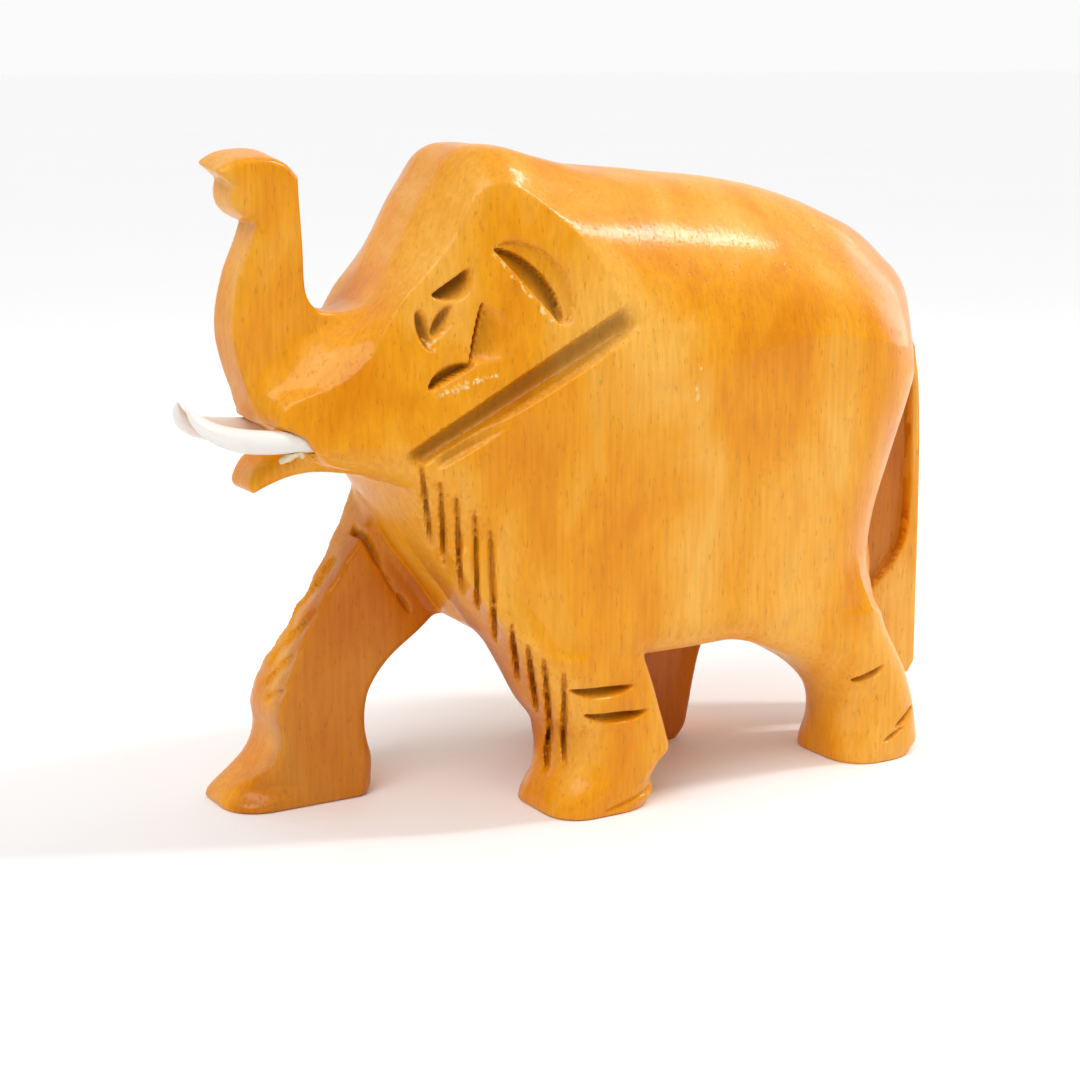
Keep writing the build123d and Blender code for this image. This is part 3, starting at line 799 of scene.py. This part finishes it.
def addTusk(name, side):
    line = bend(tusks["line"], 0.35)
    travelled = np.r_[0, np.cumsum(np.linalg.norm(np.diff(line, axis=0), axis=1))]
    marks = [travelled[np.argmin(np.linalg.norm(line - p, axis=1))] for p in np.array(tusks["line"])]
    radii = along(list(zip(marks, tusks["radii"])), travelled, 0.2)
    radii[-1] = 0.1
    backward = (line[0] - line[1]) / np.linalg.norm(line[0] - line[1])
    peg = [line[0] + backward * d for d in (tusks["pegLength"], tusks["pegLength"] - 0.2, 0.3)]
    points = np.vstack([peg, line])
    radii = np.r_[tusks["peg"] - tusks["pegEdge"], tusks["peg"], tusks["peg"], radii]
    points = [((x + crownX) / 1000, side * y / 1000, z / 1000) for x, y, z in points]
    vertices, faces = tube(points, [float(radius) / 1000 for radius in radii])
    mesh = bpy.data.meshes.new(name)
    mesh.from_pydata(vertices, [], faces)
    mesh.update()
    return addPiece("tusk" + name, mesh, "tusk_" + name.lower())


def addGlue(name, side):
    step, play = glueShape["step"], glueShape["play"]
    low, high = np.array(glueShape["low"]), np.array(glueShape["high"])
    axes = [np.arange(a, b, step, dtype=np.float32) for a, b in zip(low, high)]
    x, y, z = np.meshgrid(*axes, indexing="ij")
    lump = None
    for i, (cx, cy, cz, radius) in enumerate(glueLumps):
        part = np.sqrt((x - cx) ** 2 + (y - cy) ** 2 + (z - cz) ** 2) - radius
        part += glueShape["wave"] * np.sin(7 * x + i) * np.sin(6 * z + 2 * i)
        lump = part if lump is None else either(lump, part, glueShape["blend"])
    root, outside = tusks["line"][:2]
    sleeveStart = (root[0] + glueShape["sleeveStop"], root[1], root[2])
    lump = np.minimum(lump, capsule(glueShape["sleeveEnd"], sleeveStart, tusks["socket"] - play, x, y, z))
    lump = np.maximum(lump, -capsule(glueShape["boreEnd"], root, tusks["peg"] + play, x, y, z))
    lump = np.maximum(lump, -capsule(root, outside, glueShape["tuskRoom"], x, y, z))
    band = 4 * step
    grid = openvdb.FloatGrid(band)
    grid.copyFromArray(np.clip(lump, -band, band).astype(np.float32))
    points, triangles, quads = grid.convertToPolygons(0.0, 0.0)
    points = (points * step + low) * [1, side, 1] + [crownX, 0, 0]
    faces = triangles.tolist() + quads.tolist()
    if side > 0:
        faces = [face[::-1] for face in faces]
    mesh = bpy.data.meshes.new("glue" + name)
    mesh.from_pydata((points / 1000).tolist(), [], faces)
    mesh.update()
    return addPiece("glue" + name, mesh, "tusk_glue_" + name.lower())


tuskPieces = [addTusk("Left", -1), addTusk("Right", 1)]
gluePieces = [addGlue("Left", -1), addGlue("Right", 1)]
print("tusks and glue made")


# A material, and short ways to add nodes to it
class Paint:
    def __init__(self, name):
        self.material = bpy.data.materials.new(name)
        self.material.use_nodes = True
        self.tree = self.material.node_tree
        self.surface = self.tree.nodes["Principled BSDF"]
        self.object = self.tree.nodes.new("ShaderNodeTexCoord").outputs["Object"]

    def node(self, kind, **sockets):
        node = self.tree.nodes.new(kind)
        for name, value in sockets.items():
            self.feed(node.inputs[name], value)
        return node

    def feed(self, socket, value):
        if isinstance(value, bpy.types.NodeSocket):
            self.tree.links.new(value, socket)
        else:
            socket.default_value = value

    def set(self, **values):
        for name, value in values.items():
            self.feed(self.surface.inputs[name.replace("_", " ")], value)

    def stretched(self, along):
        return self.node("ShaderNodeMapping", Vector=self.object, Scale=(1, 1, along)).outputs["Vector"]

    def noise(self, scale, detail=3, roughness=0.5, place=None, distortion=0):
        node = self.node("ShaderNodeTexNoise", Scale=scale, Detail=detail, Roughness=roughness, Distortion=distortion,
                         Vector=place or self.object)
        return node.outputs["Fac"]

    def ramp(self, value, *stops):
        node = self.node("ShaderNodeValToRGB", Fac=value)
        stretch = node.color_ramp
        while len(stretch.elements) < len(stops):
            stretch.elements.new(0.5)
        for element, (place, colour) in zip(stretch.elements, stops):
            element.position = place
            element.color = (*colour, 1) if isinstance(colour, tuple) else (colour, colour, colour, 1)
        return node.outputs["Color"]

    def mix(self, share, a, b, mode="MIX"):
        node = self.node("ShaderNodeMix")
        node.data_type = "RGBA"
        node.blend_type = mode
        for socket, value in zip((node.inputs[0], node.inputs[6], node.inputs[7]), (share, a, b)):
            self.feed(socket, (*value, 1) if isinstance(value, tuple) else value)
        return node.outputs[2]

    def math(self, kind, a, b=0.0):
        node = self.node("ShaderNodeMath")
        node.operation = kind
        self.feed(node.inputs[0], a)
        self.feed(node.inputs[1], b)
        return node.outputs[0]

    def bump(self, height, strength, distance, below=None):
        node = self.node("ShaderNodeBump", Height=height, Strength=strength, Distance=distance)
        if below:
            self.feed(node.inputs["Normal"], below)
        return node.outputs["Normal"]

    def attribute(self, name):
        node = self.node("ShaderNodeAttribute")
        node.attribute_name = name
        return node.outputs["Fac"]


woodLook = {
    "light": (0.88, 0.44, 0.065),
    "middle": (0.83, 0.325, 0.006),
    "deep": (0.74, 0.235, 0.0),
    # painted shade laid into the bottoms of knife cuts
    "cut": (0.12, 0.032, 0.002),
    "pore": (0.36, 0.12, 0.012),
    "fibre": (0.90, 0.66, 0.30),
    "shadeTint": (0.66, 0.45, 0.2),     # colour of the painted shade on the inner sides of the legs and in the tail's hollow
    # how strongly that painted shade is laid on
    "shadeShare": 0.85,
    # fineness of patches, grain and pores, and how much they are drawn out along the grain
    "patches": (70, 0.5), "grain": (2000, 0.07), "pores": (3000, 0.22),
    "grainShare": 0.4,
    "poreShare": 0.3,
    "roughness": 0.40,
    "coat": 0.32,
    "coatRoughness": 0.13,
}


def paintWood():
    paint = Paint("goldenWood")
    # broad patches where the stain took differently, drawn out along the grain
    fineness, drawn = woodLook["patches"]
    patches = paint.noise(fineness, 4, 0.55, paint.stretched(drawn), 0.6)
    colour = paint.ramp(patches, (0.36, woodLook["deep"]), (0.5, woodLook["middle"]), (0.68, woodLook["light"]))
    # fine upright grain
    fineness, drawn = woodLook["grain"]
    grain = paint.noise(fineness, 4, 0.6, paint.stretched(drawn))
    shade = paint.ramp(grain, (0.36, (0.80, 0.72, 0.5)), (0.62, (1.06, 1.08, 1.1)))
    colour = paint.mix(woodLook["grainShare"], colour, shade, "MULTIPLY")
    # short dark pores along the grain
    fineness, drawn = woodLook["pores"]
    pore = paint.ramp(paint.noise(fineness, 2, 0.5, paint.stretched(drawn)), (0.62, 0.0), (0.70, 1.0))
    colour = paint.mix(paint.math("MULTIPLY", pore, woodLook["poreShare"]), colour, woodLook["pore"])
    # painted shade darkens the inner sides of the legs and the tail's hollow
    shadeShare = paint.math("MULTIPLY", paint.attribute("legAndHollowShade"), woodLook["shadeShare"])
    colour = paint.mix(shadeShare, colour, woodLook["shadeTint"], "MULTIPLY")
    # painted shade: darker brown the deeper a point lies in a cut; pale where fibres are torn
    cutShadeShare = paint.ramp(paint.attribute("cutDepth"), (0.2, 0.0), (0.55, 0.5), (0.95, 0.9))
    colour = paint.mix(cutShadeShare, colour, woodLook["cut"])
    torn = paint.ramp(paint.attribute("tornFibre"), (0.25, 0.0), (0.75, 0.85))
    colour = paint.mix(torn, colour, woodLook["fibre"])
    height = paint.math("SUBTRACT", paint.math("MULTIPLY", grain, 0.35), paint.math("MULTIPLY", pore, 0.6))
    normal = paint.bump(height, 0.3, 0.00015)
    rough = woodLook["roughness"]
    dull = paint.ramp(paint.noise(220, 3, 0.6), (0.3, rough - 0.08), (0.7, rough + 0.12))
    paint.set(Base_Color=colour, Roughness=dull, Normal=normal)
    paint.set(Specular_IOR_Level=0.22, Specular_Tint=(1, 0.8, 0.45, 1))
    coat = paint.math("MULTIPLY", paint.math("SUBTRACT", 1.0, cutShadeShare), woodLook["coat"])
    paint.set(Coat_Weight=coat, Coat_Roughness=woodLook["coatRoughness"], Coat_Normal=normal)
    return paint.material


tuskLook = {"dark": (0.84, 0.82, 0.76), "light": (0.90, 0.885, 0.84), "roughness": 0.28}
glueLook = {"dark": (0.72, 0.58, 0.34), "light": (0.88, 0.79, 0.58), "roughness": 0.5}


def paintTusk():
    paint = Paint("whiteTusk")
    colour = paint.ramp(paint.noise(160, 3, 0.5), (0.3, tuskLook["dark"]), (0.7, tuskLook["light"]))
    paint.set(Base_Color=colour, Roughness=tuskLook["roughness"], Subsurface_Weight=0.15, Subsurface_Scale=0.002)
    paint.set(Normal=paint.bump(paint.noise(700, 2, 0.5), 0.08, 0.0002))
    return paint.material


def paintGlue():
    paint = Paint("driedGlue")
    colour = paint.ramp(paint.noise(600, 3, 0.6), (0.3, glueLook["dark"]), (0.65, glueLook["light"]))
    paint.set(Base_Color=colour, Roughness=glueLook["roughness"], Subsurface_Weight=0.2, Subsurface_Scale=0.001)
    paint.set(Normal=paint.bump(paint.noise(1400, 3, 0.6), 0.4, 0.0002))
    return paint.material


carving.data.materials.append(paintWood())
ivory, glue = paintTusk(), paintGlue()
for piece in tuskPieces:
    piece.data.materials.append(ivory)
for piece in gluePieces:
    piece.data.materials.append(glue)
print("materials made")


def addFloor():
    mesh = bpy.data.meshes.new("floor")
    far = 12           # metres to the floor's edge
    mesh.from_pydata([(-far, -far, 0), (far, -far, 0), (far, far, 0), (-far, far, 0)], [], [(0, 1, 2, 3)])
    floor = bpy.data.objects.new("floor", mesh)
    bpy.context.scene.collection.objects.link(floor)
    paint = Paint("paleFloor")
    shade = paint.ramp(paint.noise(6, 3, 0.5), (0.3, (0.94, 0.94, 0.94)), (0.7, (0.95, 0.95, 0.95)))
    paint.set(Base_Color=shade, Roughness=0.8)
    mesh.materials.append(paint.material)


studio = {
    # brightness of the room behind the figure, in front of it and overhead
    "behind": 0.96,
    "front": 0.30,
    "above": 0.70,
    "ahead": (0.51, 0.86, 0.0),      # the way the room is looked at
    "sun": {"from": (-0.50, -0.38, 0.78), "strength": 1.38, "softness": 38},
    # a bright window that shows as a streak along the back
    "window": {"place": (0.24, -0.11, 0.38), "size": (0.03, 0.14), "watts": 0.62},
    # a weak lamp behind the tail
    "rim": {"place": (0.34, 0.02, 0.14), "size": (0.2, 0.2), "watts": 0.30},
    "aim": (0, 0, 0.040),
}


# Puts a lamp in its place and turns it to the figure
def point(lamp, place):
    lamp.location = place
    lamp.rotation_euler = (Vector(studio["aim"]) - Vector(place)).to_track_quat("-Z", "Y").to_euler()
    bpy.context.scene.collection.objects.link(lamp)


def addLights():
    world = bpy.data.worlds.new("studio")
    world.use_nodes = True
    tree = world.node_tree
    way = tree.nodes.new("ShaderNodeTexCoord").outputs["Generated"]
    shades = []
    for axis, low, high, stops in (
        (studio["ahead"], 0.0, 0.5, (studio["front"], studio["behind"])),
        ((0, 0, 1), 0.3, 0.75, (0.0, 1.0)),
    ):
        dot = tree.nodes.new("ShaderNodeVectorMath")
        dot.operation = "DOT_PRODUCT"
        dot.inputs[1].default_value = axis
        tree.links.new(way, dot.inputs[0])
        span = tree.nodes.new("ShaderNodeMapRange")
        for i, value in enumerate((low, high, *stops)):
            span.inputs[1 + i].default_value = value
        tree.links.new(dot.outputs["Value"], span.inputs[0])
        shades.append(span.outputs[0])
    mix = tree.nodes.new("ShaderNodeMix")
    tree.links.new(shades[1], mix.inputs[0])
    tree.links.new(shades[0], mix.inputs[2])
    mix.inputs[3].default_value = studio["above"]
    tree.links.new(mix.outputs[0], tree.nodes["Background"].inputs["Color"])
    bpy.context.scene.world = world

    sun = bpy.data.lights.new("sun", "SUN")
    sun.energy = studio["sun"]["strength"]
    sun.angle = math.radians(studio["sun"]["softness"])
    point(bpy.data.objects.new("sun", sun), Vector(studio["aim"]) + Vector(studio["sun"]["from"]))

    for name in ("window", "rim"):
        lamp = bpy.data.lights.new(name, "AREA")
        lamp.shape = "RECTANGLE"
        lamp.size, lamp.size_y = studio[name]["size"]
        lamp.energy = studio[name]["watts"]
        point(bpy.data.objects.new(name, lamp), studio[name]["place"])


view = {
    "turn": 30.6,          # degrees round from the left flank towards the head
    "height": 12.4,        # degrees above the floor
    "distance": 0.260,
    "behindCrown": 10.7,   # middle of the view
    "above": 29.3,
    "lens": 72.83,
}


def addCamera():
    turn, rise = math.radians(view["turn"]), math.radians(view["height"])
    look = Vector((math.sin(turn) * math.cos(rise), math.cos(turn) * math.cos(rise), -math.sin(rise)))
    data = bpy.data.cameras.new("camera")
    data.lens = view["lens"]
    data.sensor_width = 36
    data.clip_start = 0.01
    camera = bpy.data.objects.new("camera", data)
    middle = Vector(((crownX + view["behindCrown"]) / 1000, 0, view["above"] / 1000))
    camera.location = middle - look * view["distance"]
    camera.rotation_euler = look.to_track_quat("-Z", "Y").to_euler()
    bpy.context.scene.collection.objects.link(camera)
    bpy.context.scene.camera = camera


addFloor()
addLights()
addCamera()
bpy.context.scene.view_settings.view_transform = "Standard"
print("floor, lights and camera set")
